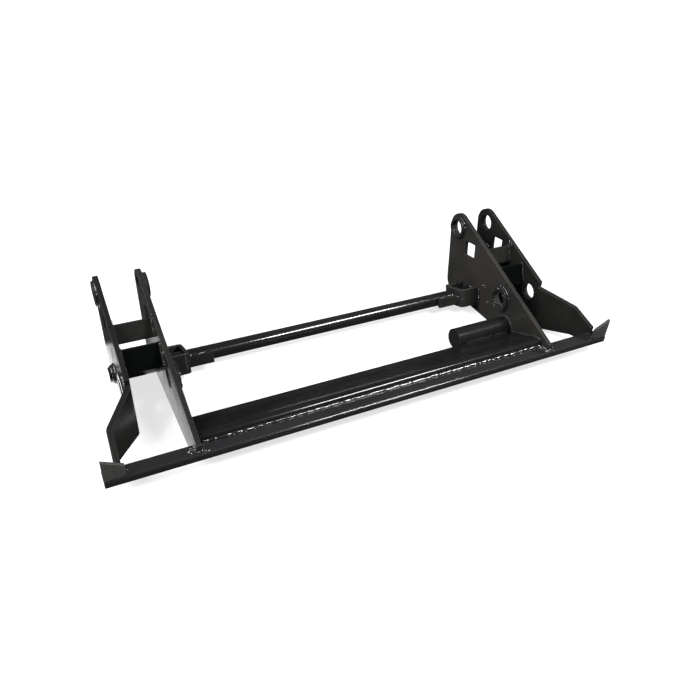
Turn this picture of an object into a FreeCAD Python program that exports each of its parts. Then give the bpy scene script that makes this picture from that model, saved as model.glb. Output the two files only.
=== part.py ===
import FreeCAD, Part
import os

import Sketcher

# Loader adapter frame: two pairs of hook plates on a flat front bar, joined by a bent
# cross member and a round cross shaft. Millimetres and degrees. X runs along the bar,
# Y from front to back, Z up. The origin is the middle of the footprint on the floor.

doc = FreeCAD.newDocument("LoaderAdapterFrame")
sheet = doc.addObject("Spreadsheet::Sheet", "Sizes")

# Driving sizes. "back" is measured from the front face of the bar, "height" from the floor.
SIZES = {
    # Overall
    "bar_length": 1120,
    "frame_depth": 422,
    "inner_width": 784.6,
    "pair_gap": 73.5,
    # Front bar and end tabs
    "bar_depth": 29,
    "bar_thickness": 14,
    "bar_height": 34,
    "bar_edge_radius": 3,
    "tab_width": 37,
    "tab_thickness": 6,
    "tab_inner_rise": 25,
    "tab_outer_rise": 44,
    "tab_setback": 1.5,
    # Outline of the side plates
    "plate_thickness": 9.5,
    "lean_angle": 7.4,
    "edge_angle": 21.7,
    "nose_back": 7.6,
    "nose_height": 61.7,
    "toe_back": 41,
    "ear_radius": 34.5,
    "heel_radius": 32,
    # Holes in the side plates
    "ear_hole": 40,
    "lower_hole": 40,
    "lower_hole_back": 188.6,
    "lower_hole_height": 82.2,
    "square_hole_depth": 39,
    "square_hole_rise": 38,
    "square_hole_back": 332,
    "square_hole_height": 138,
    # Rings welded round the holes
    "ear_boss_wall": 5.5,
    "lower_boss_wall": 10,
    "inner_boss_length": 9,
    "outer_boss_length": 5.5,
    # Joggled feet of the outer plates
    "foot_step": 51.5,
    "foot_bend_angle": 36,
    "foot_bend_back": 140,
    "foot_bend_radius": 8,
    "foot_nose_back": 21,
    "foot_nose_height": 67,
    "foot_top_back": 160,
    "foot_top_drop": 13,
    "foot_toe_height": 20,
    "foot_heel_back": 176,
    # Bent cross member behind the bar
    "member_thickness": 8,
    "member_lip_rise": 26,
    "member_slope_angle": 23.8,
    "member_length": 110,
    "member_bend_radius": 4,
    # Short round bar behind the member
    "stub_diameter": 48,
    "stub_length": 147,
    # Cross shaft
    "shaft_diameter": 32,
    "shaft_back": 304.3,
    "shaft_height": 33,
    "shaft_stub": 13,
    "shaft_clearance": 0.2,
    "collar_wall": 4,
    "collar_length": 6,
    # Bent brackets that carry the shaft
    "bracket_reach": 53,
    "bracket_depth": 74,
    "bracket_rise": 44,
    "bracket_thickness": 8,
    "bracket_bend_radius": 2,
    "bracket_forward": 4,
    "bracket_tilt": 18,
    # Flat tabs beside the shaft
    "shaft_tab_length": 53,
    "shaft_tab_thickness": 8,
    "shaft_tab_rise": 24,
    "shaft_tab_drop": 4,
    # Tie plates inside each pair of side plates
    "tie_thickness": 9,
    "tie_angle": 66,
    "upper_tie_back": 272,
    "upper_tie_width": 38.5,
    "upper_tie_depth": 43.5,
    "lower_tie_back": 209,
    "lower_tie_width": 48,
    "lower_tie_depth": 46,
}

# Places worked out from the driving sizes.
PLACES = {
    "front": "-frame_depth / 2",
    "bar_top": "bar_height + bar_thickness",
    "inner_face": "inner_width / 2",
    "inner_back_face": "inner_face + plate_thickness",
    "outer_face": "inner_back_face + pair_gap",
    "outer_back_face": "outer_face + plate_thickness",
    # The front edge of a plate and its back edge meet in the corner that the ear rounds off.
    "edge_start": "nose_height - nose_back * tan(edge_angle)",
    "half_ear": "(90 - lean_angle - edge_angle) / 2",
    "corner_back": "frame_depth - ear_radius * (1 - cos(edge_angle + half_ear) / sin(half_ear))",
    "corner_height": "edge_start + corner_back * tan(edge_angle)",
    "heel_back": "corner_back - corner_height * tan(lean_angle)",
    # The ear is round about its own hole.
    "ear_hole_back": "frame_depth - ear_radius",
    "ear_hole_height": "edge_start + ear_hole_back * tan(edge_angle) - ear_radius / cos(edge_angle)",
    # The joggle is drawn across the leaning bend lines.
    "foot_front": "front * cos(lean_angle)",
    "foot_shift": "plate_thickness * tan(foot_bend_angle / 2)",
    "foot_bend_end": "foot_bend_back - foot_step / tan(foot_bend_angle)",
    # Cross member: heel of its lip on the bar's back face, then the bend and the back edge.
    "member_front": "front + bar_depth",
    "lip_foot": "bar_height + bar_thickness / 2",
    "bend_height": "lip_foot + member_lip_rise",
    "member_drop": "member_length * sin(member_slope_angle)",
    "member_run": "member_length * cos(member_slope_angle)",
    "member_back": "member_front + member_run",
    "member_back_height": "bend_height - member_drop",
    "member_half_turn": "(90 - member_slope_angle) / 2",
    "member_inset": "member_thickness * tan(member_half_turn)",
    "stub_radius": "stub_diameter / 2",
    # Shaft, brackets and tabs share one line.
    "shaft_radius": "shaft_diameter / 2",
    "shaft_y": "front + shaft_back",
    "shaft_bore": "shaft_diameter + 2 * shaft_clearance",
    "shaft_half": "outer_back_face + shaft_stub",
    "bracket_face": "inner_face - bracket_reach",
}

for row, (name, size) in enumerate(SIZES.items(), start=1):
    sheet.set(f"A{row}", name)
    sheet.set(f"B{row}", str(size))
    sheet.setAlias(f"B{row}", name)
for row, (name, formula) in enumerate(PLACES.items(), start=len(SIZES) + 2):
    sheet.set(f"A{row}", name)
    sheet.set(f"B{row}", f"={formula}")
    sheet.setAlias(f"B{row}", name)
doc.recompute()


def bound(formula):
    """The formula with every size and place read from the sheet."""
    words = []
    word = ""
    for letter in formula + " ":
        if letter.isalnum() or letter == "_":
            word += letter
            continue
        known = word in SIZES or word in PLACES
        words.append(f"Sizes.{word}" if known else word)
        words.append(letter)
        word = ""
    return "".join(words).strip()


def number(formula):
    """The formula's value now, to start a sketch near its final shape."""
    result = sheet.evalExpression(bound(formula))
    return float(getattr(result, "Value", result))


# Sketches and features

def new_body(name):
    body = doc.addObject("PartDesign::Body", name)
    body.Label = name
    return body


def new_sketch(body, role, offset="0", turn="0"):
    """Sketch on one of the body's own planes, moved along its normal and turned about its X."""
    sketch = body.newObject("Sketcher::SketchObject", f"{body.Name}_sketch")
    plane = next(item for item in body.Origin.OriginFeatures if item.Role == role)
    sketch.AttachmentSupport = [(plane, "")]
    sketch.MapMode = "FlatFace"
    sketch.AttachmentOffset = FreeCAD.Placement(
        FreeCAD.Vector(0, 0, 0), FreeCAD.Rotation(FreeCAD.Vector(1, 0, 0), number(turn)))
    sketch.setExpression("AttachmentOffset.Base.z", bound(offset))
    if turn != "0":
        sketch.setExpression("AttachmentOffset.Rotation.Angle", bound(turn))
    return sketch


def pin_point(sketch, geometry, point, across, up):
    """Hold one point of a sketch at a place given by two formulas."""
    for kind, formula in (("DistanceX", across), ("DistanceY", up)):
        index = sketch.addConstraint(
            Sketcher.Constraint(kind, -1, 1, geometry, point, number(formula)))
        sketch.setExpression(f"Constraints[{index}]", bound(formula))


def draw_outline(sketch, corners):
    """Closed outline through corners that are pairs of formulas."""
    places = [FreeCAD.Vector(number(across), number(up), 0) for across, up in corners]
    lines = [
        sketch.addGeometry(Part.LineSegment(start, end), False)
        for start, end in zip(places, places[1:] + places[:1])]
    for line, following in zip(lines, lines[1:] + lines[:1]):
        sketch.addConstraint(Sketcher.Constraint("Coincident", line, 2, following, 1))
    for line, (across, up) in zip(lines, corners):
        pin_point(sketch, line, 1, across, up)


def draw_circle(sketch, across, up, diameter):
    centre = FreeCAD.Vector(number(across), number(up), 0)
    circle = sketch.addGeometry(
        Part.Circle(centre, FreeCAD.Vector(0, 0, 1), number(diameter) / 2), False)
    pin_point(sketch, circle, 3, across, up)
    index = sketch.addConstraint(Sketcher.Constraint("Diameter", circle, number(diameter)))
    sketch.setExpression(f"Constraints[{index}]", bound(diameter))


def rectangle(low_across, low_up, high_across, high_up):
    return [(low_across, low_up), (high_across, low_up),
            (high_across, high_up), (low_across, high_up)]


def pad(body, sketch, length, reverse=False, middle=False):
    feature = body.newObject("PartDesign::Pad", f"{body.Name}_pad")
    feature.Profile = sketch
    feature.setExpression("Length", bound(length))
    feature.Reversed = reverse
    feature.Midplane = middle
    doc.recompute()
    return feature


def cut_through(body, sketch):
    """Cut a sketch through the whole body, both ways, and make sure that it removes material."""
    before = body.Shape.Volume
    feature = body.newObject("PartDesign::Pocket", f"{body.Name}_cut")
    feature.Profile = sketch
    feature.Type = "ThroughAll"
    feature.Midplane = True
    doc.recompute()
    if body.Shape.Volume > before - 1:
        raise RuntimeError(f"{body.Name}: the cut removes nothing")
    return feature


def edge_names(shape, chosen):
    return [f"Edge{index}" for index, edge in enumerate(shape.Edges, start=1) if chosen(edge)]


def round_edges(body, radius, chosen):
    """Round the edges of the body that the test picks out."""
    base = body.Tip
    names = edge_names(base.Shape, chosen)
    if not names:
        raise RuntimeError(f"{body.Name}: no edge to round")
    feature = body.newObject("PartDesign::Fillet", f"{body.Name}_round")
    feature.Base = (base, names)
    feature.setExpression("Radius", bound(radius))
    doc.recompute()
    return feature


def runs_along_x(edge, y, z):
    """True for a straight edge parallel to X that passes through the given Y and Z."""
    ends = [vertex.Point for vertex in edge.Vertexes]
    return len(ends) == 2 and all(abs(p.y - y) < 0.01 and abs(p.z - z) < 0.01 for p in ends)


def round_corners(body, radius, corners):
    """Round corners of a profile that was padded along X, given as pairs of formulas."""
    places = [(number(across), number(up)) for across, up in corners]
    return round_edges(
        body, radius, lambda edge: any(runs_along_x(edge, y, z) for y, z in places))


# Side plates

# Side view that all plates share: the notch over the bar, the heel and the ear.
NOTCH = [("front + bar_depth", "bar_top"), ("front + bar_depth", "bar_height")]
BACK = [("front + heel_back", "0"), ("front + corner_back", "corner_height")]


def inner_corners():
    nose = "front + nose_back"
    return [(nose, "bar_top"), *NOTCH, ("front + toe_back", "0"), *BACK, (nose, "nose_height")]


def outer_corners():
    """The foot is lower than the plate's front edge, and its underside rises off the floor."""
    nose = "front + foot_nose_back"
    foot_edge = "edge_start + foot_top_back * tan(edge_angle)"
    return [
        (nose, "bar_top"), *NOTCH,
        ("front + toe_back", "foot_toe_height"),
        ("front + foot_heel_back", "0"), *BACK,
        ("front + foot_top_back", foot_edge),
        ("front + foot_top_back", f"{foot_edge} - foot_top_drop"),
        (nose, "foot_nose_height")]


def cut_holes(body):
    sketch = new_sketch(body, "YZ_Plane")
    draw_circle(sketch, "front + ear_hole_back", "ear_hole_height", "ear_hole")
    draw_circle(sketch, "front + lower_hole_back", "lower_hole_height", "lower_hole")
    draw_circle(sketch, "shaft_y", "shaft_height", "shaft_bore")
    corners = []
    for back, up in ((-1, -1), (1, -1), (1, 1), (-1, 1)):
        across = f"{back} * square_hole_depth / 2"
        rise = f"{up} * square_hole_rise / 2"
        corners.append((
            f"front + square_hole_back + {across} * cos(lean_angle) + {rise} * sin(lean_angle)",
            f"square_hole_height - {across} * sin(lean_angle) + {rise} * cos(lean_angle)"))
    draw_outline(sketch, corners)
    cut_through(body, sketch)


def round_plate(body):
    round_corners(body, "ear_radius", [("front + corner_back", "corner_height")])
    round_corners(body, "heel_radius", [("front + heel_back", "0")])


def make_inner_plate(name, side):
    body = new_body(name)
    sketch = new_sketch(body, "YZ_Plane", f"{side} * inner_face")
    draw_outline(sketch, inner_corners())
    pad(body, sketch, "plate_thickness", reverse=side < 0)
    round_plate(body)
    cut_holes(body)
    return body


def make_outer_plate(name, side):
    """Strip with a joggle in plan, trimmed to the side view of the plate."""
    body = new_body(name)
    back = "foot_front + frame_depth * 1.2"
    bend = "foot_front + foot_bend_back"
    bend_end = "foot_front + foot_bend_end"
    nose = "foot_front - frame_depth * 0.2"
    near = f"{side} * outer_face"
    far = f"{side} * outer_back_face"
    near_foot = f"{side} * (outer_face + foot_step)"
    far_foot = f"{side} * (outer_back_face + foot_step)"
    joggle = [
        (near, back), (near, bend), (near_foot, bend_end), (near_foot, nose),
        (far_foot, nose), (far_foot, f"{bend_end} + foot_shift"),
        (far, f"{bend} + foot_shift"), (far, back)]
    sketch = new_sketch(body, "XY_Plane", turn="-lean_angle")
    draw_outline(sketch, joggle)
    pad(body, sketch, "frame_depth * 2", middle=True)

    # The bends are rounded to one inside radius and the matching outside radius.
    lean = FreeCAD.Rotation(FreeCAD.Vector(1, 0, 0), -number("lean_angle"))

    def along_bend(edge, corners):
        start, end = (lean.inverted().multVec(vertex.Point) for vertex in edge.Vertexes)
        upright = abs(start.x - end.x) < 0.01 and abs(start.y - end.y) < 0.01
        return upright and any(
            abs(start.x - number(x)) < 0.01 and abs(start.y - number(y)) < 0.01
            for x, y in corners)

    inside = [joggle[2], joggle[6]]
    outside = [joggle[1], joggle[5]]
    round_edges(body, "foot_bend_radius", lambda edge: along_bend(edge, inside))
    round_edges(
        body, "foot_bend_radius + plate_thickness", lambda edge: along_bend(edge, outside))

    trim = new_sketch(body, "YZ_Plane")
    draw_outline(trim, rectangle(
        "-2 * frame_depth", "-2 * frame_depth", "2 * frame_depth", "2 * frame_depth"))
    draw_outline(trim, outer_corners())
    cut_through(body, trim)
    round_plate(body)
    cut_holes(body)
    return body


def make_boss(name, side, hole, wall, length, across, up, face, outward):
    """Ring round a plate's hole, standing on the face away from the other plate."""
    body = new_body(name)
    sketch = new_sketch(body, "YZ_Plane", f"{side} * {face}")
    draw_circle(sketch, across, up, f"{hole} + 2 * {wall}")
    draw_circle(sketch, across, up, hole)
    pad(body, sketch, length, reverse=(side > 0) != outward)
    return body


# Front bar, tabs and cross member

def make_front_bar():
    body = new_body("front_bar")
    sketch = new_sketch(body, "YZ_Plane")
    draw_outline(sketch, rectangle("front", "bar_height", "front + bar_depth", "bar_top"))
    pad(body, sketch, "bar_length", middle=True)
    round_corners(body, "bar_edge_radius", [("front", "bar_top")])
    return body


def make_end_tab(name, side):
    """Plate that stands on the end of the bar, its top sloping up to the outside."""
    body = new_body(name)
    inside = f"{side} * (bar_length / 2 - tab_width)"
    outside = f"{side} * bar_length / 2"
    sketch = new_sketch(body, "XZ_Plane", "-(front + tab_setback)")
    draw_outline(sketch, [
        (f"{side} * (bar_length / 2 - tab_width + tab_thickness)", "bar_top"),
        (outside, "bar_top"),
        (outside, "bar_top + tab_outer_rise"),
        (inside, "bar_top + tab_inner_rise"),
        (inside, "bar_top + tab_thickness")])
    pad(body, sketch, "tab_thickness", reverse=True)
    return body


def make_member():
    """Plate bent once: a lip up the back of the bar, then a slope down to the back."""
    body = new_body("rear_member")
    slope_y = "member_thickness * sin(member_slope_angle)"
    slope_z = "member_thickness * cos(member_slope_angle)"
    sketch = new_sketch(body, "YZ_Plane")
    draw_outline(sketch, [
        ("member_front", "lip_foot"),
        ("member_front", "bend_height"),
        ("member_back", "member_back_height"),
        (f"member_back - {slope_y}", f"member_back_height - {slope_z}"),
        ("member_front + member_thickness", "bend_height - member_inset"),
        ("member_front + member_thickness", "lip_foot")])
    pad(body, sketch, "inner_width", middle=True)
    round_corners(
        body, "member_bend_radius + member_thickness", [("member_front", "bend_height")])
    round_corners(
        body, "member_bend_radius",
        [("member_front + member_thickness", "bend_height - member_inset")])
    return body


def make_short_bar():
    """Round bar on the floor behind the member, from the right inner plate inward."""
    body = new_body("short_round_bar")
    sketch = new_sketch(body, "YZ_Plane", "inner_face")
    draw_circle(sketch, "member_back + stub_radius", "stub_radius", "stub_diameter")
    pad(body, sketch, "stub_length", reverse=True)
    return body


# Cross shaft and its brackets

def make_shaft():
    body = new_body("cross_shaft")
    sketch = new_sketch(body, "YZ_Plane")
    draw_circle(sketch, "shaft_y", "shaft_height", "shaft_diameter")
    pad(body, sketch, "2 * shaft_half", middle=True)
    return body


def make_collar(name, side):
    body = new_body(name)
    sketch = new_sketch(body, "YZ_Plane", f"{side} * outer_back_face")
    draw_circle(sketch, "shaft_y", "shaft_height", "shaft_bore + 2 * collar_wall")
    draw_circle(sketch, "shaft_y", "shaft_height", "shaft_bore")
    pad(body, sketch, "collar_length", reverse=side < 0)
    return body


def tilt_about_shaft(body):
    """Put the body's own origin on the shaft's line, tilted down to the back."""
    body.Placement = FreeCAD.Placement(
        FreeCAD.Vector(0, 0, 0), FreeCAD.Rotation(FreeCAD.Vector(1, 0, 0), -1))
    body.setExpression("Placement.Base.y", bound("shaft_y"))
    body.setExpression("Placement.Base.z", bound("shaft_height"))
    body.setExpression("Placement.Rotation.Angle", bound("-bracket_tilt"))


def make_shaft_bracket(name, side):
    """Flat bar bent to a U, its legs on the inner plate and the shaft through its web."""
    body = new_body(name)
    tilt_about_shaft(body)
    plate = f"{side} * inner_face"
    web = f"{side} * bracket_face"
    inside_web = f"{side} * (bracket_face + bracket_thickness)"
    front_leg = "-bracket_forward - bracket_depth / 2"
    back_leg = "-bracket_forward + bracket_depth / 2"
    inside_front = f"{front_leg} + bracket_thickness"
    inside_back = f"{back_leg} - bracket_thickness"
    outline = [
        (plate, front_leg), (web, front_leg), (web, back_leg), (plate, back_leg),
        (plate, inside_back), (inside_web, inside_back),
        (inside_web, inside_front), (plate, inside_front)]
    sketch = new_sketch(body, "XY_Plane")
    draw_outline(sketch, outline)
    pad(body, sketch, "bracket_rise", middle=True)

    def upright(edge, corners):
        start, end = (vertex.Point for vertex in edge.Vertexes)
        return any(
            all(abs(p.x - number(x)) < 0.01 and abs(p.y - number(y)) < 0.01
                for p in (start, end)) for x, y in corners)

    round_edges(
        body, "bracket_bend_radius + bracket_thickness",
        lambda edge: upright(edge, outline[1:3]))
    round_edges(body, "bracket_bend_radius", lambda edge: upright(edge, outline[5:7]))
    bore = new_sketch(body, "YZ_Plane", web)
    draw_circle(bore, "0", "0", "shaft_bore")
    hole = body.newObject("PartDesign::Pocket", f"{name}_bore")
    hole.Profile = bore
    hole.Reversed = side > 0
    hole.setExpression("Length", bound("bracket_thickness * 2"))
    before = body.Shape.Volume
    doc.recompute()
    if body.Shape.Volume > before - 1:
        raise RuntimeError(f"{name}: the bore removes nothing")
    return body


def make_shaft_tab(name, side, way):
    """Flat tab on the bracket's web that runs along the shaft, in front of it or behind it."""
    body = new_body(name)
    tilt_about_shaft(body)
    near = f"{way} * (shaft_radius + shaft_clearance)"
    far = f"{way} * (shaft_radius + shaft_clearance + shaft_tab_thickness)"
    sketch = new_sketch(body, "YZ_Plane", f"{side} * bracket_face")
    low = "-shaft_tab_drop - shaft_tab_rise / 2"
    high = "-shaft_tab_drop + shaft_tab_rise / 2"
    draw_outline(sketch, rectangle(near, low, far, high))
    pad(body, sketch, "shaft_tab_length", reverse=side > 0)
    return body


# Tie plates between the two plates of a pair

def make_tie(name, side, back, depth, width):
    """Steep plate across the gap, its foot at a depth under the plates' front edge."""
    body = new_body(name)
    foot_y = f"front + {back}"
    foot_z = f"edge_start + {back} * tan(edge_angle) - {depth}"
    along_y = f"{width} * cos(tie_angle)"
    along_z = f"{width} * sin(tie_angle)"
    under_y = "tie_thickness * sin(tie_angle)"
    under_z = "tie_thickness * cos(tie_angle)"
    sketch = new_sketch(body, "YZ_Plane", f"{side} * inner_back_face")
    draw_outline(sketch, [
        (foot_y, foot_z),
        (f"{foot_y} + {along_y}", f"{foot_z} + {along_z}"),
        (f"{foot_y} + {along_y} + {under_y}", f"{foot_z} + {along_z} - {under_z}"),
        (f"{foot_y} + {under_y}", f"{foot_z} - {under_z}")])
    pad(body, sketch, "pair_gap", reverse=side < 0)
    return body


parts = [make_front_bar(), make_member(), make_short_bar(), make_shaft()]
for hand, side in (("left", -1), ("right", 1)):
    parts.append(make_end_tab(f"end_tab_{hand}", side))
    parts.append(make_inner_plate(f"inner_plate_{hand}", side))
    parts.append(make_outer_plate(f"outer_plate_{hand}", side))
    for position, face, outward in (
            ("inner", "inner_face", False), ("outer", "outer_back_face", True)):
        length = f"{position}_boss_length"
        parts.append(make_boss(
            f"ear_boss_{position}_{hand}", side, "ear_hole", "ear_boss_wall", length,
            "front + ear_hole_back", "ear_hole_height", face, outward))
        parts.append(make_boss(
            f"lower_boss_{position}_{hand}", side, "lower_hole", "lower_boss_wall", length,
            "front + lower_hole_back", "lower_hole_height", face, outward))
    parts.append(make_shaft_bracket(f"shaft_bracket_{hand}", side))
    parts.append(make_shaft_tab(f"front_shaft_tab_{hand}", side, -1))
    parts.append(make_shaft_tab(f"back_shaft_tab_{hand}", side, 1))
    parts.append(make_collar(f"shaft_collar_{hand}", side))
    for level in ("upper", "lower"):
        parts.append(make_tie(
            f"{level}_tie_plate_{hand}", side, f"{level}_tie_back", f"{level}_tie_depth",
            f"{level}_tie_width"))

doc.recompute()
for item in doc.Objects:
    if "Invalid" in item.State or "Error" in item.State:
        raise RuntimeError(f"{item.Name} did not compute: {item.State}")
for body in parts:
    if body.Shape.isNull() or not body.Shape.isValid():
        raise RuntimeError(f"{body.Label} has no valid shape")

os.makedirs("parts", exist_ok=True)
for body in parts:
    body.Shape.exportStep(f"parts/{body.Label}.step")
    box = body.Shape.BoundBox
    print(f"{body.Label}: {len(body.Shape.Solids)} solid, "
          f"x {box.XMin:.1f} {box.XMax:.1f}, y {box.YMin:.1f} {box.YMax:.1f}, "
          f"z {box.ZMin:.1f} {box.ZMax:.1f}, volume {body.Shape.Volume / 1000:.1f} cm3")
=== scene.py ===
import math
import random

import bpy
from mathutils import Matrix, Vector, noise


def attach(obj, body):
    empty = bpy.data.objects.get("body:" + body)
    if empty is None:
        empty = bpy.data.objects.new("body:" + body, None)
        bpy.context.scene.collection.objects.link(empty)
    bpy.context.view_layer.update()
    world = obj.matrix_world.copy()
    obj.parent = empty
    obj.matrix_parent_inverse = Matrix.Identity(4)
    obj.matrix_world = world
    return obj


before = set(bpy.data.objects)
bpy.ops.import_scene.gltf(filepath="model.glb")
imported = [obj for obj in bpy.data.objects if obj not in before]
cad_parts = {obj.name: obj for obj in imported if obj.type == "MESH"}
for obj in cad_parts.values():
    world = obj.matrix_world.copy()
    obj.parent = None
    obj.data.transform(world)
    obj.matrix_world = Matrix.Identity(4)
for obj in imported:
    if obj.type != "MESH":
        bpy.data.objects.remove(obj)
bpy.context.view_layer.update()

MM = 0.001


# Camera of the photograph, fitted to the frame's parallel edges

CAMERA_LENS = 33.97
CAMERA_PLACE = (-0.58179, -1.04018, 0.88734)
CAMERA_RIGHT = Vector((0.89007, -0.45203, 0.05871))
CAMERA_UP = Vector((0.22427, 0.54640, 0.80693))
CAMERA_FORWARD = Vector((0.39684, 0.70506, -0.58771))

camera_data = bpy.data.cameras.new("photo_camera")
camera_data.lens = CAMERA_LENS
camera_data.sensor_width = 36
camera_data.sensor_fit = "HORIZONTAL"
camera_data.clip_end = 60
camera = bpy.data.objects.new("photo_camera", camera_data)
bpy.context.scene.collection.objects.link(camera)
turn = Matrix((CAMERA_RIGHT, CAMERA_UP, -CAMERA_FORWARD)).transposed().to_4x4()
camera.matrix_world = Matrix.Translation(CAMERA_PLACE) @ turn
bpy.context.scene.camera = camera


# Sizes and places of the CAD model, in millimetres. A pair is a place in the side view, (y, z).

INNER = 392.3               # inboard and outboard face of an inner plate, in x
INNER_BACK = 401.8
OUTER = 475.3               # the same two faces of an outer plate
OUTER_BACK = 484.8
FOOT = 526.8                # and of the foot that it is cranked out to
FOOT_BACK = 536.3
BAR_BACK = -182.0
BAR_TOP = 48.0
INNER_TOE = -202.6          # where an inner plate and a foot end on the bar, in y
FOOT_TOE = -189.0
EAR_HOLE = (176.5, 175.7)
LOWER_HOLE = (-22.4, 82.2)
EAR_RING = 25.5             # outer radius of the ring round each hole
LOWER_RING = 30.0
SHAFT = (93.3, 33.0)
SHAFT_RADIUS = 16.0
COLLAR_RADIUS = 20.2
COLLAR_END = 490.8
BRACKET_WEB = 339.3
BRACKET_TILT = math.radians(18)
STUB = (-57.4, 24.0)        # short round bar
STUB_RADIUS = 24.0
STUB_SEAT = (-79.6, 24.0)   # where it lies against the cross member
TIE_ANGLE = math.radians(66)
TIE_THICKNESS = 9.0
UPPER_TIE = (61.0, 123.4, 38.5)     # foot in y and z, and width
LOWER_TIE = (-2.0, 95.9, 48.0)


# Materials


def add(tree, kind, **values):
    node = tree.nodes.new(kind)
    for key, value in values.items():
        setattr(node, key, value)
    return node


def maths(tree, operation, first, second):
    node = add(tree, "ShaderNodeMath", operation=operation)
    tree.links.new(first, node.inputs[0])
    tree.links.new(second, node.inputs[1])
    return node.outputs["Value"]


def mix_colour(tree, factor, first, second):
    """Mix of two colours, each a tuple or a socket."""
    mix = add(tree, "ShaderNodeMix", data_type="RGBA")
    tree.links.new(factor, mix.inputs["Factor"])
    for socket, value in (("A", first), ("B", second)):
        target = next(s for s in mix.inputs if s.name == socket and s.type == "RGBA")
        if hasattr(value, "is_output"):
            tree.links.new(value, target)
        else:
            target.default_value = (*value, 1)
    return next(s for s in mix.outputs if s.type == "RGBA")


def ramp(tree, source, low, high, from_value, to_value):
    """from_value where source is low, to_value where it is high, and smooth between."""
    node = add(tree, "ShaderNodeMapRange", interpolation_type="SMOOTHSTEP")
    tree.links.new(source, node.inputs["Value"])
    node.inputs["From Min"].default_value = low
    node.inputs["From Max"].default_value = high
    node.inputs["To Min"].default_value = from_value
    node.inputs["To Max"].default_value = to_value
    return node.outputs["Result"]


CLOUD_SCALE, SMUDGE_SCALE, GRAIN_SCALE = 9, 38, 420
FLAT, ROUNDED = 0.995, 0.86     # how far a bevelled normal agrees with the true one
# Grey of the painted highlights along edges
EDGE_HIGHLIGHT_GREY = (0.09, 0.09, 0.09)


def paint(name, dark, light, rough, gloss, peel=0.00001, dents=0.0002, stretch=(1, 1, 1),
          edge_radius=0.001, edge_highlight=0.6):
    """Glossy black enamel: cloudy depth, orange peel, faint dents and thin pale edges.

    rough is the least and the most roughness. gloss is the specular level, then the coat's
    weight and roughness. peel, dents and edge_radius are in metres. The pale edges are painted
    highlights: edge_highlight is how far their colour goes towards a pale grey.
    weight and roughness. peel, dents and edge_radius are in metres.
    """
    material = bpy.data.materials.new(name)
    material.use_nodes = True
    tree = material.node_tree
    shader = tree.nodes["Principled BSDF"]
    mapping = add(tree, "ShaderNodeMapping")
    tree.links.new(add(tree, "ShaderNodeTexCoord").outputs["Object"], mapping.inputs["Vector"])
    mapping.inputs["Scale"].default_value = stretch

    def noise_of(scale, detail):
        texture = add(tree, "ShaderNodeTexNoise")
        tree.links.new(mapping.outputs["Vector"], texture.inputs["Vector"])
        texture.inputs["Scale"].default_value = scale
        texture.inputs["Detail"].default_value = detail
        texture.inputs["Roughness"].default_value = 0.55
        return texture.outputs["Fac"]

    def bump_of(height, distance, normal):
        bump = add(tree, "ShaderNodeBump")
        bump.inputs["Strength"].default_value = 1
        bump.inputs["Distance"].default_value = distance
        tree.links.new(height, bump.inputs["Height"])
        tree.links.new(normal, bump.inputs["Normal"])
        return bump.outputs["Normal"]

    clouds = noise_of(CLOUD_SCALE, detail=5)
    smudges = noise_of(SMUDGE_SCALE, detail=4)
    grain = noise_of(GRAIN_SCALE, detail=2)

    bevel = add(tree, "ShaderNodeBevel", samples=6)
    bevel.inputs["Radius"].default_value = edge_radius
    agree = add(tree, "ShaderNodeVectorMath", operation="DOT_PRODUCT")
    tree.links.new(bevel.outputs["Normal"], agree.inputs[0])
    tree.links.new(add(tree, "ShaderNodeNewGeometry").outputs["True Normal"], agree.inputs[1])
    # Painted highlight: the colour turns pale grey where the bevelled normal bends away, along
    # the edges
    edge = ramp(tree, agree.outputs["Value"], FLAT, ROUNDED, 0, edge_highlight)

    colour = mix_colour(tree, ramp(tree, clouds, 0.35, 0.68, 0, 1), dark, light)
    tree.links.new(mix_colour(tree, edge, colour, EDGE_HIGHLIGHT_GREY), shader.inputs["Base Color"])
    tree.links.new(ramp(tree, smudges, 0.3, 0.72, *rough), shader.inputs["Roughness"])
    shader.inputs["Specular IOR Level"].default_value = gloss[0]
    shader.inputs["Coat Weight"].default_value = gloss[1]
    shader.inputs["Coat Roughness"].default_value = gloss[2]
    dented = bump_of(smudges, dents, bevel.outputs["Normal"])
    tree.links.new(bump_of(grain, peel, dented), shader.inputs["Normal"])
    return material


PLATE = paint(
    "plate_enamel", (0.0108, 0.0105, 0.0101), (0.0165, 0.0157, 0.0146),
    rough=(0.23, 0.33), gloss=(0.15, 0.2, 0.08))
# Lighter copy of the plate enamel for the right inner plate: painted light on its shaded faces
PAINTED_LIGHT_PLATE = paint(
    "painted_light_enamel", (0.0185, 0.0178, 0.017), (0.029, 0.0274, 0.0252),
    rough=(0.23, 0.33), gloss=(0.15, 0.15, 0.08))
# Darker copy of the plate enamel for the left outer plate: painted shade on its foot
PAINTED_SHADE_FOOT = paint(
    "painted_shade_foot_enamel", (0.0075, 0.0073, 0.007), (0.0115, 0.011, 0.0102),
    rough=(0.26, 0.36), gloss=(0.12, 0.03, 0.1))
TIE_PAINT = paint(
    "tie_enamel", (0.011, 0.0108, 0.0102), (0.017, 0.0163, 0.015),
    rough=(0.22, 0.34), gloss=(0.15, 0.15, 0.09), edge_radius=0.0012, edge_highlight=0.7)
# Lighter copy of the enamel for the end tabs: painted light on their faces
PAINTED_LIGHT_TAB = paint(
    "painted_light_tab_enamel", (0.032, 0.0313, 0.030), (0.050, 0.0482, 0.0455),
    rough=(0.24, 0.36), gloss=(0.3, 0.25, 0.09), peel=0.00003, dents=0.0003,
    edge_radius=0.0012, edge_highlight=0.5)
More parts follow.
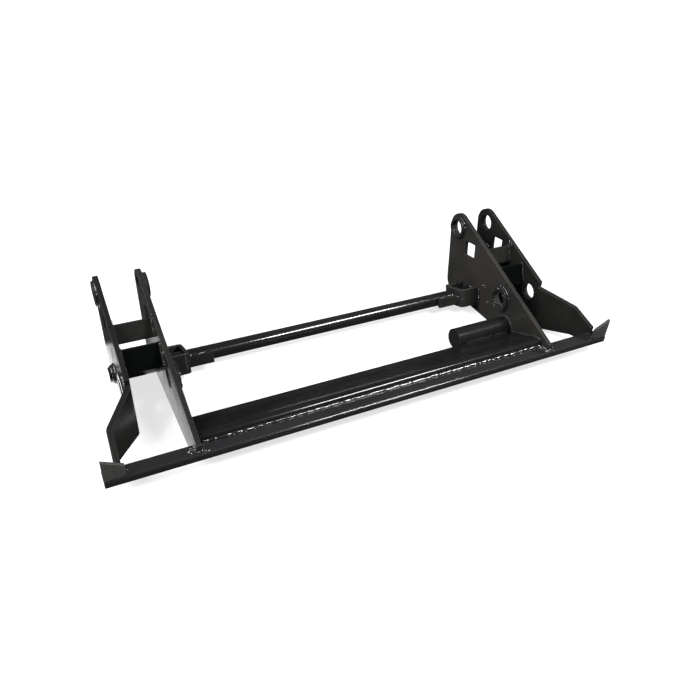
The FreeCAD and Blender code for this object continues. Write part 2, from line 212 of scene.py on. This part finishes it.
# Edges painted fully pale: painted highlights along the bracket's rims
BRACKET_PAINT = paint(
    "bracket_enamel", (0.0118, 0.0114, 0.011), (0.018, 0.0171, 0.016),
    rough=(0.2, 0.3), gloss=(0.3, 0.4, 0.08), peel=0.00002, edge_radius=0.003,
    edge_highlight=1.0)
# Very dark copy of the enamel for the lower tie plates: painted shade where they sit between the
# plates
PAINTED_SHADE_PLATE = paint(
    "painted_shade_enamel", (0.0011, 0.0018, 0.0017), (0.0023, 0.0029, 0.0027),
    rough=(0.22, 0.36), gloss=(0.06, 0.04, 0.1), peel=0.00003, dents=0.0003,
    edge_radius=0.0012, edge_highlight=0.3)
SHAFT_PAINT = paint(
    "shaft_enamel", (0.0043, 0.0043, 0.0046), (0.0074, 0.0074, 0.0078),
    rough=(0.16, 0.26), gloss=(0.25, 0.6, 0.045), peel=0.00002, dents=0.0001,
    stretch=(0.25, 1, 1), edge_radius=0.0012, edge_highlight=0.25)
BAR_PAINT = paint(
    "bar_enamel", (0.0072, 0.0074, 0.0082), (0.0108, 0.0111, 0.0121),
    rough=(0.2, 0.26), gloss=(0.3, 1.0, 0.085), dents=0.00006, stretch=(0.7, 1, 1),
    edge_radius=0.0085, edge_highlight=0.12)
MEMBER_PAINT = paint(
    "member_enamel", (0.0045, 0.0049, 0.0051), (0.0072, 0.0075, 0.0077),
    rough=(0.2, 0.25), gloss=(0.12, 0.3, 0.045), dents=0.00003, stretch=(0.7, 1, 1),
    edge_radius=0.0008, edge_highlight=0.25)
WELD_PAINT = paint(
    "weld_enamel", (0.008, 0.008, 0.0085), (0.016, 0.016, 0.017),
    rough=(0.12, 0.24), gloss=(0.5, 0.7, 0.05), peel=0.00003, dents=0.0003,
    edge_radius=0.0003, edge_highlight=0.05)
SEAM_PAINT = paint(
    "seam_enamel", (0.010, 0.010, 0.0105), (0.018, 0.018, 0.019),
    rough=(0.12, 0.22), gloss=(0.9, 1, 0.04), peel=0.00002,
    edge_radius=0.0003, edge_highlight=0.05)
SPATTER_PAINT = paint(
    "spatter_enamel", (0.03, 0.03, 0.03), (0.06, 0.06, 0.06),
    rough=(0.16, 0.22), gloss=(1, 1, 0.14), peel=0.00002, dents=0.0001,
    edge_radius=0.0002, edge_highlight=0.05)
RING_PAINT = paint(
    "ring_enamel", (0.011, 0.0107, 0.0103), (0.024, 0.0228, 0.0212),
    rough=(0.18, 0.34), gloss=(0.35, 0.5, 0.07), peel=0.00004, dents=0.0004,
    edge_highlight=0.4)

NODE_PAINTS = (
    ("front_bar", BAR_PAINT),
    ("rear_member", MEMBER_PAINT),
    ("end_tab", PAINTED_LIGHT_TAB),
    ("outer_plate_left", PAINTED_SHADE_FOOT),
    ("inner_plate_right", PAINTED_LIGHT_PLATE),
    ("cross_shaft", SHAFT_PAINT),
    ("short_round_bar", SHAFT_PAINT),
    ("boss", RING_PAINT),
    ("collar", RING_PAINT),
    ("shaft_bracket", BRACKET_PAINT),
    ("upper_tie", TIE_PAINT),
    ("lower_tie", PAINTED_SHADE_PLATE),
)

for node_name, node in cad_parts.items():
    chosen = next((coating for part, coating in NODE_PAINTS if part in node_name), PLATE)
    node.data.materials.clear()
    node.data.materials.append(chosen)


# Weld beads and spatter

WELD_RANDOM = random.Random(7)
BEAD_STEP = 0.85        # length of one slice of a bead
BEAD_SIDES = 9
RIPPLE = 3.4            # length of one ripple
SEAM_PASS_END = 0.86    # share of a pass that rises, before it drops to the next one


def add_object(name, verts, faces, material):
    mesh = bpy.data.meshes.new(name)
    mesh.from_pydata([(x * MM, y * MM, z * MM) for x, y, z in verts], [], faces)
    mesh.materials.append(material)
    for polygon in mesh.polygons:
        polygon.use_smooth = True
    mesh.update()
    piece = bpy.data.objects.new(name, mesh)
    bpy.context.scene.collection.objects.link(piece)
    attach(piece, "root")


def walk(points, step, closed):
    """Points along a polyline at an even step, with the way it runs at each."""
    corners = [Vector(p) for p in points]
    if closed:
        corners.append(corners[0])
    lengths = [(b - a).length for a, b in zip(corners, corners[1:])]
    total = sum(lengths)
    count = max(3, round(total / step))
    spots = []
    for index in range(count if closed else count + 1):
        left = total * index / count
        for a, b, length in zip(corners, corners[1:], lengths):
            if left <= length + 1e-9:
                break
            left -= length
        spots.append((a.lerp(b, min(1, left / length)), (b - a).normalized()))
    return spots, total / count


def pass_rise(reach, lumpy):
    """How much higher a seam stands at this share of a pass, in radii."""
    if lumpy:
        return -0.22 * math.cos(2 * math.pi * reach)
    if reach < SEAM_PASS_END:
        return 0.42 * (reach / SEAM_PASS_END - 0.5)
    return 0.42 * ((1 - reach) / (1 - SEAM_PASS_END) - 0.5)


def bead(verts, faces, points, radius, outward, closed=False, passes=None, lumpy=False):
    """Laid bead: overlapping half-moon ripples that bulge towards outward.

    outward is a direction, or a function that gives it at a point. passes is the length of
    one pass of a seam, and makes it calmer: each pass ends in a step, or in a swell if lumpy.
    """
    spots, step = walk(points, BEAD_STEP, closed)
    base = len(verts)
    seed = WELD_RANDOM.random() * 100
    phase = WELD_RANDOM.random()
    count = len(spots)
    slow, quick, ripples = (0.5, 0.24, 0.26) if passes is None else (0.175, 0.08, 0.05)
    for index, (spot, run) in enumerate(spots):
        bulge = Vector(outward(spot) if callable(outward) else outward)
        bulge = (bulge - run * bulge.dot(run)).normalized()
        across = run.cross(bulge)
        along = index * step
        wobble = noise.noise(Vector((along * 0.11, seed, 0)))
        fine = noise.noise(Vector((along * 0.4, seed, 4)))
        size = radius * (1 + slow * wobble + quick * fine)
        if not closed:
            end = min(index, count - 1 - index) * step
            size *= math.sqrt(min(1, (end + 0.15) / (1.3 * radius)))
        shift = across * (0.35 * radius * noise.noise(Vector((along * 0.06, seed, 9))))
        for side in range(BEAD_SIDES):
            angle = 2 * math.pi * side / BEAD_SIDES
            lagged = along + 0.9 * math.cos(angle)
            tall = size * (1 + ripples * ((lagged / RIPPLE + phase) % 1 - 0.5))
            if passes is not None:
                drift = 0.35 * noise.noise(Vector((along / passes * 0.6, seed, 2)))
                tall += radius * pass_rise((lagged / passes + phase + drift) % 1, lumpy)
            verts.append(spot + shift + bulge * (tall * math.cos(angle))
                         + across * (size * math.sin(angle)))
    for index in range(count if closed else count - 1):
        near_slice = base + index * BEAD_SIDES
        far_slice = base + (index + 1) % count * BEAD_SIDES
        for side in range(BEAD_SIDES):
            after = (side + 1) % BEAD_SIDES
            faces.append((near_slice + side, far_slice + side, far_slice + after,
                          near_slice + after))
    if not closed:
        last = base + (count - 1) * BEAD_SIDES
        faces.append(tuple(base + side for side in range(BEAD_SIDES)))
        faces.append(tuple(last + side for side in reversed(range(BEAD_SIDES))))


def on_circle(centre, radius, degrees):
    angle = math.radians(degrees)
    return centre[0] + radius * math.cos(angle), centre[1] + radius * math.sin(angle)


def ring(x, centre, radius, start=0, end=360):
    return [(x, *on_circle(centre, radius, degrees)) for degrees in range(start, end, 6)]


def away_from(centre, x_way, flare):
    """Direction that leans along x_way and out from a hole or round bar."""
    return lambda spot: (x_way, (spot.y - centre[0]) / flare, (spot.z - centre[1]) / flare)


def bracket_point(along, rise):
    """Side view place of a point on the tilted bracket, from the shaft's middle."""
    c, s = math.cos(BRACKET_TILT), math.sin(BRACKET_TILT)
    return SHAFT[0] + along * c + rise * s, SHAFT[1] - along * s + rise * c


def member_top(y):
    """Height of the cross member's sloping top."""
    return 22.6 + 0.441 * (-81.4 - y)


# Bar and member seam

SEAM_PLACE = (BAR_BACK - 0.2, BAR_TOP + 0.6)

for name, start, end, passes, coating in (("left", -389, -236, 20, WELD_PAINT),
                                          ("middle", -241, 262, 33, SEAM_PAINT),
                                          ("right", 258, 389, 18, SEAM_PAINT)):
    verts, faces = [], []
    bead(verts, faces, [(start, *SEAM_PLACE), (end, *SEAM_PLACE)], radius=3.6,
         outward=(0, -0.5, 1), passes=passes, lumpy=name != "middle")
    add_object(f"weld_bar_to_member_{name}", verts, faces, coating)

ON_BAR = BAR_TOP + 0.4

for side, hand in ((-1, "left"), (1, "right")):
    # Plates on the bar, down its back edge and round their toes
    verts, faces = [], []
    for x, way, toe in ((INNER, -1, INNER_TOE), (INNER_BACK, 1, INNER_TOE),
                        (FOOT, -1, FOOT_TOE), (FOOT_BACK, 1, FOOT_TOE)):
        bead(verts, faces, [(side * x, toe, ON_BAR), (side * x, BAR_BACK, ON_BAR)],
             radius=3.4, outward=(side * way, 0, 1))
        bead(verts, faces, [(side * x, BAR_BACK + 0.4, z) for z in (46, 35.5)],
             radius=2.8, outward=(side * way, 1, 0))
    for low, high, toe in ((INNER, INNER_BACK, INNER_TOE - 0.8), (FOOT, FOOT_BACK, FOOT_TOE - 1)):
        bead(verts, faces, [(side * low, toe, ON_BAR), (side * high, toe, ON_BAR)],
             radius=3.2, outward=(0, -1, 1))
    add_object(f"weld_plates_to_bar_{hand}", verts, faces, WELD_PAINT)

    # Member on the inner plate, over its bend and down its slope
    verts, faces = [], []
    profile = [(-177.5, 58.0), (-172, 61.0), (-165, 60.0)]
    profile += [(y, member_top(y)) for y in (-150, -120, -84)]
    bead(verts, faces, [(side * INNER, *place) for place in profile],
         radius=3.3, outward=(-side, 0.3, 0.9))
    add_object(f"weld_member_to_plate_{hand}", verts, faces, PLATE)

    # Rings round the pin holes and the shaft
    verts, faces = [], []
    for centre, size in ((EAR_HOLE, EAR_RING), (LOWER_HOLE, LOWER_RING)):
        for x, way in ((INNER, -1), (OUTER_BACK, 1)):
            bead(verts, faces, ring(side * x, centre, size), radius=2.6,
                 outward=away_from(centre, side * way, flare=30), closed=True)
    add_object(f"weld_pin_rings_{hand}", verts, faces, WELD_PAINT)

    verts, faces = [], []
    for x, way, size in ((OUTER_BACK, 1, COLLAR_RADIUS), (COLLAR_END, 1, SHAFT_RADIUS),
                         (INNER_BACK, 1, SHAFT_RADIUS), (OUTER, -1, SHAFT_RADIUS),
                         (INNER, -1, SHAFT_RADIUS)):
        bead(verts, faces, ring(side * x, SHAFT, size), radius=2.3,
             outward=away_from(SHAFT, side * way, flare=20), closed=True)
    add_object(f"weld_shaft_rings_{hand}", verts, faces, WELD_PAINT)

    # Tie plates: along both faces and over the top edge, at each plate
    verts, faces = [], []
    lean_y, lean_z = -math.sin(TIE_ANGLE), math.cos(TIE_ANGLE)
    for foot_y, foot_z, width in (UPPER_TIE, LOWER_TIE):
        top_y = foot_y + width * math.cos(TIE_ANGLE)
        top_z = foot_z + width * math.sin(TIE_ANGLE)
        back_y, back_z = -lean_y * TIE_THICKNESS, -lean_z * TIE_THICKNESS
        for x, way in ((INNER_BACK, 1), (OUTER, -1)):
            bead(verts, faces, [(side * x, foot_y, foot_z), (side * x, top_y, top_z)],
                 radius=2.8, outward=(side * way, lean_y, lean_z))
            bead(verts, faces, [(side * x, foot_y + back_y, foot_z + back_z),
                                (side * x, top_y + back_y, top_z + back_z)],
                 radius=2.8, outward=(side * way, -lean_y, -lean_z))
            bead(verts, faces, [(side * x, top_y, top_z + 0.3),
                                (side * x, top_y + back_y, top_z + back_z + 0.3)],
                 radius=2.6, outward=(side * way, 0.4, 0.9))
    add_object(f"weld_tie_plates_{hand}", verts, faces, PLATE)

    # Bracket on the inner plate, and the tabs on its web and on the shaft
    verts, faces = [], []
    for along, way in ((-41, -1), (33, 1)):
        edge = [(side * INNER, *bracket_point(along, rise)) for rise in (-20.5, 20.5)]
        bead(verts, faces, edge, radius=3.4, outward=(-side, way, 0))
    for along, way in ((-24.3, -0.8), (24.3, 0.8)):
        edge = [(side * BRACKET_WEB, *bracket_point(along, rise)) for rise in (-15, 7)]
        bead(verts, faces, edge, radius=2.8, outward=(-side, way, 0))
        inside = bracket_point(along * 0.72, 8)
        bead(verts, faces, [(side * x, *inside) for x in (288, 337)],
             radius=2.2, outward=(0, 0, 1))
    add_object(f"weld_shaft_bracket_{hand}", verts, faces, WELD_PAINT)

    # End tab on the bar, thin in front so that it stays behind the bar's face
    verts, faces = [], []
    for y, way, radius in ((-209.3, -1, 1.1), (-203.5, 1, 3.0)):
        bead(verts, faces, [(side * x, y, BAR_TOP + 0.3) for x in (524.5, 558.5)],
             radius=radius, outward=(0, way, 1))
    add_object(f"weld_end_tab_{hand}", verts, faces, WELD_PAINT)

# Short round bar: a ring that stays above the floor, and a bead along the member

verts, faces = [], []
bead(verts, faces, ring(INNER, STUB, STUB_RADIUS, start=-48, end=228), radius=2.8,
     outward=away_from(STUB, -1, flare=24))
bead(verts, faces, [(262, *STUB_SEAT), (386, *STUB_SEAT)], radius=2.6, outward=(0, 0.2, 1))
add_object("weld_short_round_bar", verts, faces, PLATE)

DROP_LEVELS = (-60, -20, 20, 60)
DROP_SIDES = 8
DROP_FLATNESS = 0.8


def drop(verts, faces, centre, size):
    """Flattened ball: a ring of points at each level, and one below and one above them."""
    base = len(verts)
    for level in DROP_LEVELS:
        lift = math.radians(level)
        for step in range(DROP_SIDES):
            around = math.radians(360 / DROP_SIDES * step + level)
            verts.append(centre + size * Vector((
                math.cos(lift) * math.cos(around), math.cos(lift) * math.sin(around),
                DROP_FLATNESS * math.sin(lift))))
    top = Vector((0, 0, DROP_FLATNESS * size))
    verts += [centre - top, centre + top]
    rings = [base + row * DROP_SIDES for row in range(len(DROP_LEVELS))]
    pole = rings[-1] + DROP_SIDES
    for low, high in zip(rings, rings[1:]):
        for step in range(DROP_SIDES):
            after = (step + 1) % DROP_SIDES
            faces.append((low + step, low + after, high + after, high + step))
    for step in range(DROP_SIDES):
        after = (step + 1) % DROP_SIDES
        faces.append((pole, rings[0] + after, rings[0] + step))
        faces.append((pole + 1, rings[-1] + step, rings[-1] + after))


def spatter(name, spots):
    """Small drops of weld metal under the paint, half sunk into what they landed on.

    A spot is its place, its spread along x, y and z, how many drops, and how large.
    """
    verts, faces = [], []
    for place, spread, count, grow in spots:
        for _ in range(count):
            size = WELD_RANDOM.uniform(0.6, 1.8) * grow
            centre = Vector([v + WELD_RANDOM.gauss(0, 1) * s for v, s in zip(place, spread)])
            drop(verts, faces, centre, size)
    add_object(name, verts, faces, SPATTER_PAINT)


ON_TOP = BAR_TOP + 0.2
ON_PLATE = INNER - 0.2
spots = [((-380 + index * 30.4, -184.5, ON_TOP), (9, 1.6, 0), 3, 1) for index in range(26)]
for side in (-1, 1):
    # On the bar, round the plates
    spots.append(((side * (INNER - 7), -190, ON_TOP), (4, 5, 0), 16, 1.35))
    spots.append(((side * (INNER_BACK + 7), -194, ON_TOP), (4, 5, 0), 12, 1.35))
    spots.append(((side * (INNER - 1), -205, BAR_TOP - 0.4), (5, 2, 0), 9, 1.35))
    spots.append(((side * (FOOT - 3), -200, ON_TOP), (5, 3, 0), 8, 1))
    # Round the shaft bracket
    spots.append(((side * ON_PLATE, 37, 79), (0, 4, 4), 6, 1.6))
    spots.append(((side * ON_PLATE, 18, 49), (0, 3, 3), 5, 1.6))
    spots.append(((side * (BRACKET_WEB - 0.2), 92, 25), (0, 4, 6), 6, 1))
    # On the face of the lower ring, and in the bores
    for degrees in (20, 75, 140, 200, 290):
        place = (side * (INNER - 9.2), *on_circle(LOWER_HOLE, 24, degrees))
        spots.append((place, (0, 1.6, 1.6), 2, 1.6))
    for centre in (LOWER_HOLE, EAR_HOLE):
        for degrees in (-75, -60, -48, -36, -20, 200):
            place = (side * (INNER - 3), *on_circle(centre, 19.6, degrees))
            spots.append((place, (3, 0.7, 0.7), 2, 1.5))
    # At the tie plates
    spots.append(((side * (INNER_BACK + 0.2), 64, 168), (0, 5, 5), 5, 1.5))
    spots.append(((side * (OUTER - 0.2), 73, 168), (0, 4, 4), 6, 1.5))
    spots.append(((side * (INNER_BACK + 0.2), 6, 122), (0, 6, 9), 4, 1.5))
spatter("weld_spatter", spots)


# Floor: white to the camera, and dark in reflections except in three zones, which light the
# left plates' outboard faces as in the photograph

FLOOR_HALF = 14
FLOOR_DROP = 0.0004         # keeps the floor clear of the plates' undersides
FLOOR_GREY = (0.36, 0.36, 0.36)
FLOOR_GREY_IN_GLOSS = (0.02, 0.02, 0.02)
GLOW_OUTSIDE_ZONES = 0.035
MIRROR_ZONES = (            # x from and to, y from and to, softness of the edge, glow
    (-0.424, -0.4, -0.19, 0.22, 0.006, 1.1),
    (-0.52, -0.472, 0.04, 0.25, 0.012, 2.4),
    (-0.437, -0.42, 0.17, 0.262, 0.004, 1.2),
)

floor_mesh = bpy.data.meshes.new("floor")
floor_mesh.from_pydata([(-FLOOR_HALF, -FLOOR_HALF, 0), (FLOOR_HALF, -FLOOR_HALF, 0),
                        (FLOOR_HALF, FLOOR_HALF, 0), (-FLOOR_HALF, FLOOR_HALF, 0)],
                       [], [(0, 1, 2, 3)])
floor = bpy.data.objects.new("floor", floor_mesh)
floor.location.z = -FLOOR_DROP
bpy.context.scene.collection.objects.link(floor)
floor_material = bpy.data.materials.new("white_floor")
floor_material.use_nodes = True
floor_mesh.materials.append(floor_material)

tree = floor_material.node_tree
tree.nodes.remove(tree.nodes["Principled BSDF"])
rays = add(tree, "ShaderNodeLightPath").outputs
place = add(tree, "ShaderNodeTexCoord").outputs["Object"]
split = add(tree, "ShaderNodeSeparateXYZ")
tree.links.new(place, split.inputs["Vector"])


def zone_glow(x_low, x_high, y_low, y_high, soft, glow):
    """glow inside a rectangle of the floor, with soft edges, and the dim glow outside it."""
    inside = None
    for source, edge, before, after in (("X", x_low, 0, 1), ("X", x_high, 1, 0),
                                        ("Y", y_low, 0, 1), ("Y", y_high, 1, 0)):
        part = ramp(tree, split.outputs[source], edge - soft, edge + soft, before, after)
        inside = part if inside is None else maths(tree, "MULTIPLY", inside, part)
    return ramp(tree, inside, 0, 1, GLOW_OUTSIDE_ZONES, glow)


first, second, third = (zone_glow(*zone) for zone in MIRROR_ZONES)
mirrored = maths(tree, "MAXIMUM", maths(tree, "MAXIMUM", first, second), third)
distance = add(tree, "ShaderNodeVectorMath", operation="LENGTH")
tree.links.new(place, distance.inputs[0])
level = add(tree, "ShaderNodeMix", data_type="FLOAT")
tree.links.new(rays["Is Camera Ray"], level.inputs["Factor"])
tree.links.new(mirrored, level.inputs["A"])
tree.links.new(ramp(tree, distance.outputs["Value"], 0.35, 1.7, 0.72, 1), level.inputs["B"])
seen = maths(tree, "MAXIMUM", rays["Is Camera Ray"], rays["Is Glossy Ray"])
seen = maths(tree, "MAXIMUM", seen, rays["Is Transmission Ray"])
glow = add(tree, "ShaderNodeEmission")
tree.links.new(maths(tree, "MULTIPLY", seen, level.outputs["Result"]), glow.inputs["Strength"])
diffuse = add(tree, "ShaderNodeBsdfDiffuse")
tree.links.new(mix_colour(tree, rays["Is Glossy Ray"], FLOOR_GREY, FLOOR_GREY_IN_GLOSS),
               diffuse.inputs["Color"])
total = add(tree, "ShaderNodeAddShader")
tree.links.new(diffuse.outputs["BSDF"], total.inputs[0])
tree.links.new(glow.outputs["Emission"], total.inputs[1])
tree.links.new(total.outputs["Shader"], tree.nodes["Material Output"].inputs["Surface"])


# World: white to the camera, and a dim sky that is darker at the horizon for all else

world = bpy.data.worlds.new("studio")
world.use_nodes = True
bpy.context.scene.world = world
tree = world.node_tree
background = tree.nodes["Background"]
split = add(tree, "ShaderNodeSeparateXYZ")
tree.links.new(add(tree, "ShaderNodeTexCoord").outputs["Generated"], split.inputs["Vector"])
sky = ramp(tree, split.outputs["Z"], 0.02, 0.3, 0.06, 0.15)
camera_ray = add(tree, "ShaderNodeLightPath").outputs["Is Camera Ray"]
tree.links.new(maths(tree, "MAXIMUM", sky, camera_ray), background.inputs["Strength"])
background.inputs["Color"].default_value = (1, 1, 1, 1)


# Lights


def soft_light(name, place, target, width, height, power):
    data = bpy.data.lights.new(name, "AREA")
    data.shape = "RECTANGLE"
    data.size = width
    data.size_y = height
    data.energy = power
    light = bpy.data.objects.new(name, data)
    light.location = place
    aim = (Vector(target) - Vector(place)).to_track_quat("-Z", "Y")
    light.rotation_euler = aim.to_euler()
    bpy.context.scene.collection.objects.link(light)


soft_light("strip_light", (0.9, -1.14, 1.86), (-0.05, 0.05, 0.03),
           width=0.95, height=0.25, power=74)
soft_light("side_light", (-1.8, 0.1, 1.7), (0.1, 0, 0), width=1.8, height=1.2, power=76)
soft_light("spark_light", (-1.9, -0.5, 2.0), (0.1, 0, 0), width=0.25, height=0.25, power=18)

bpy.context.scene.view_settings.view_transform = "Standard"
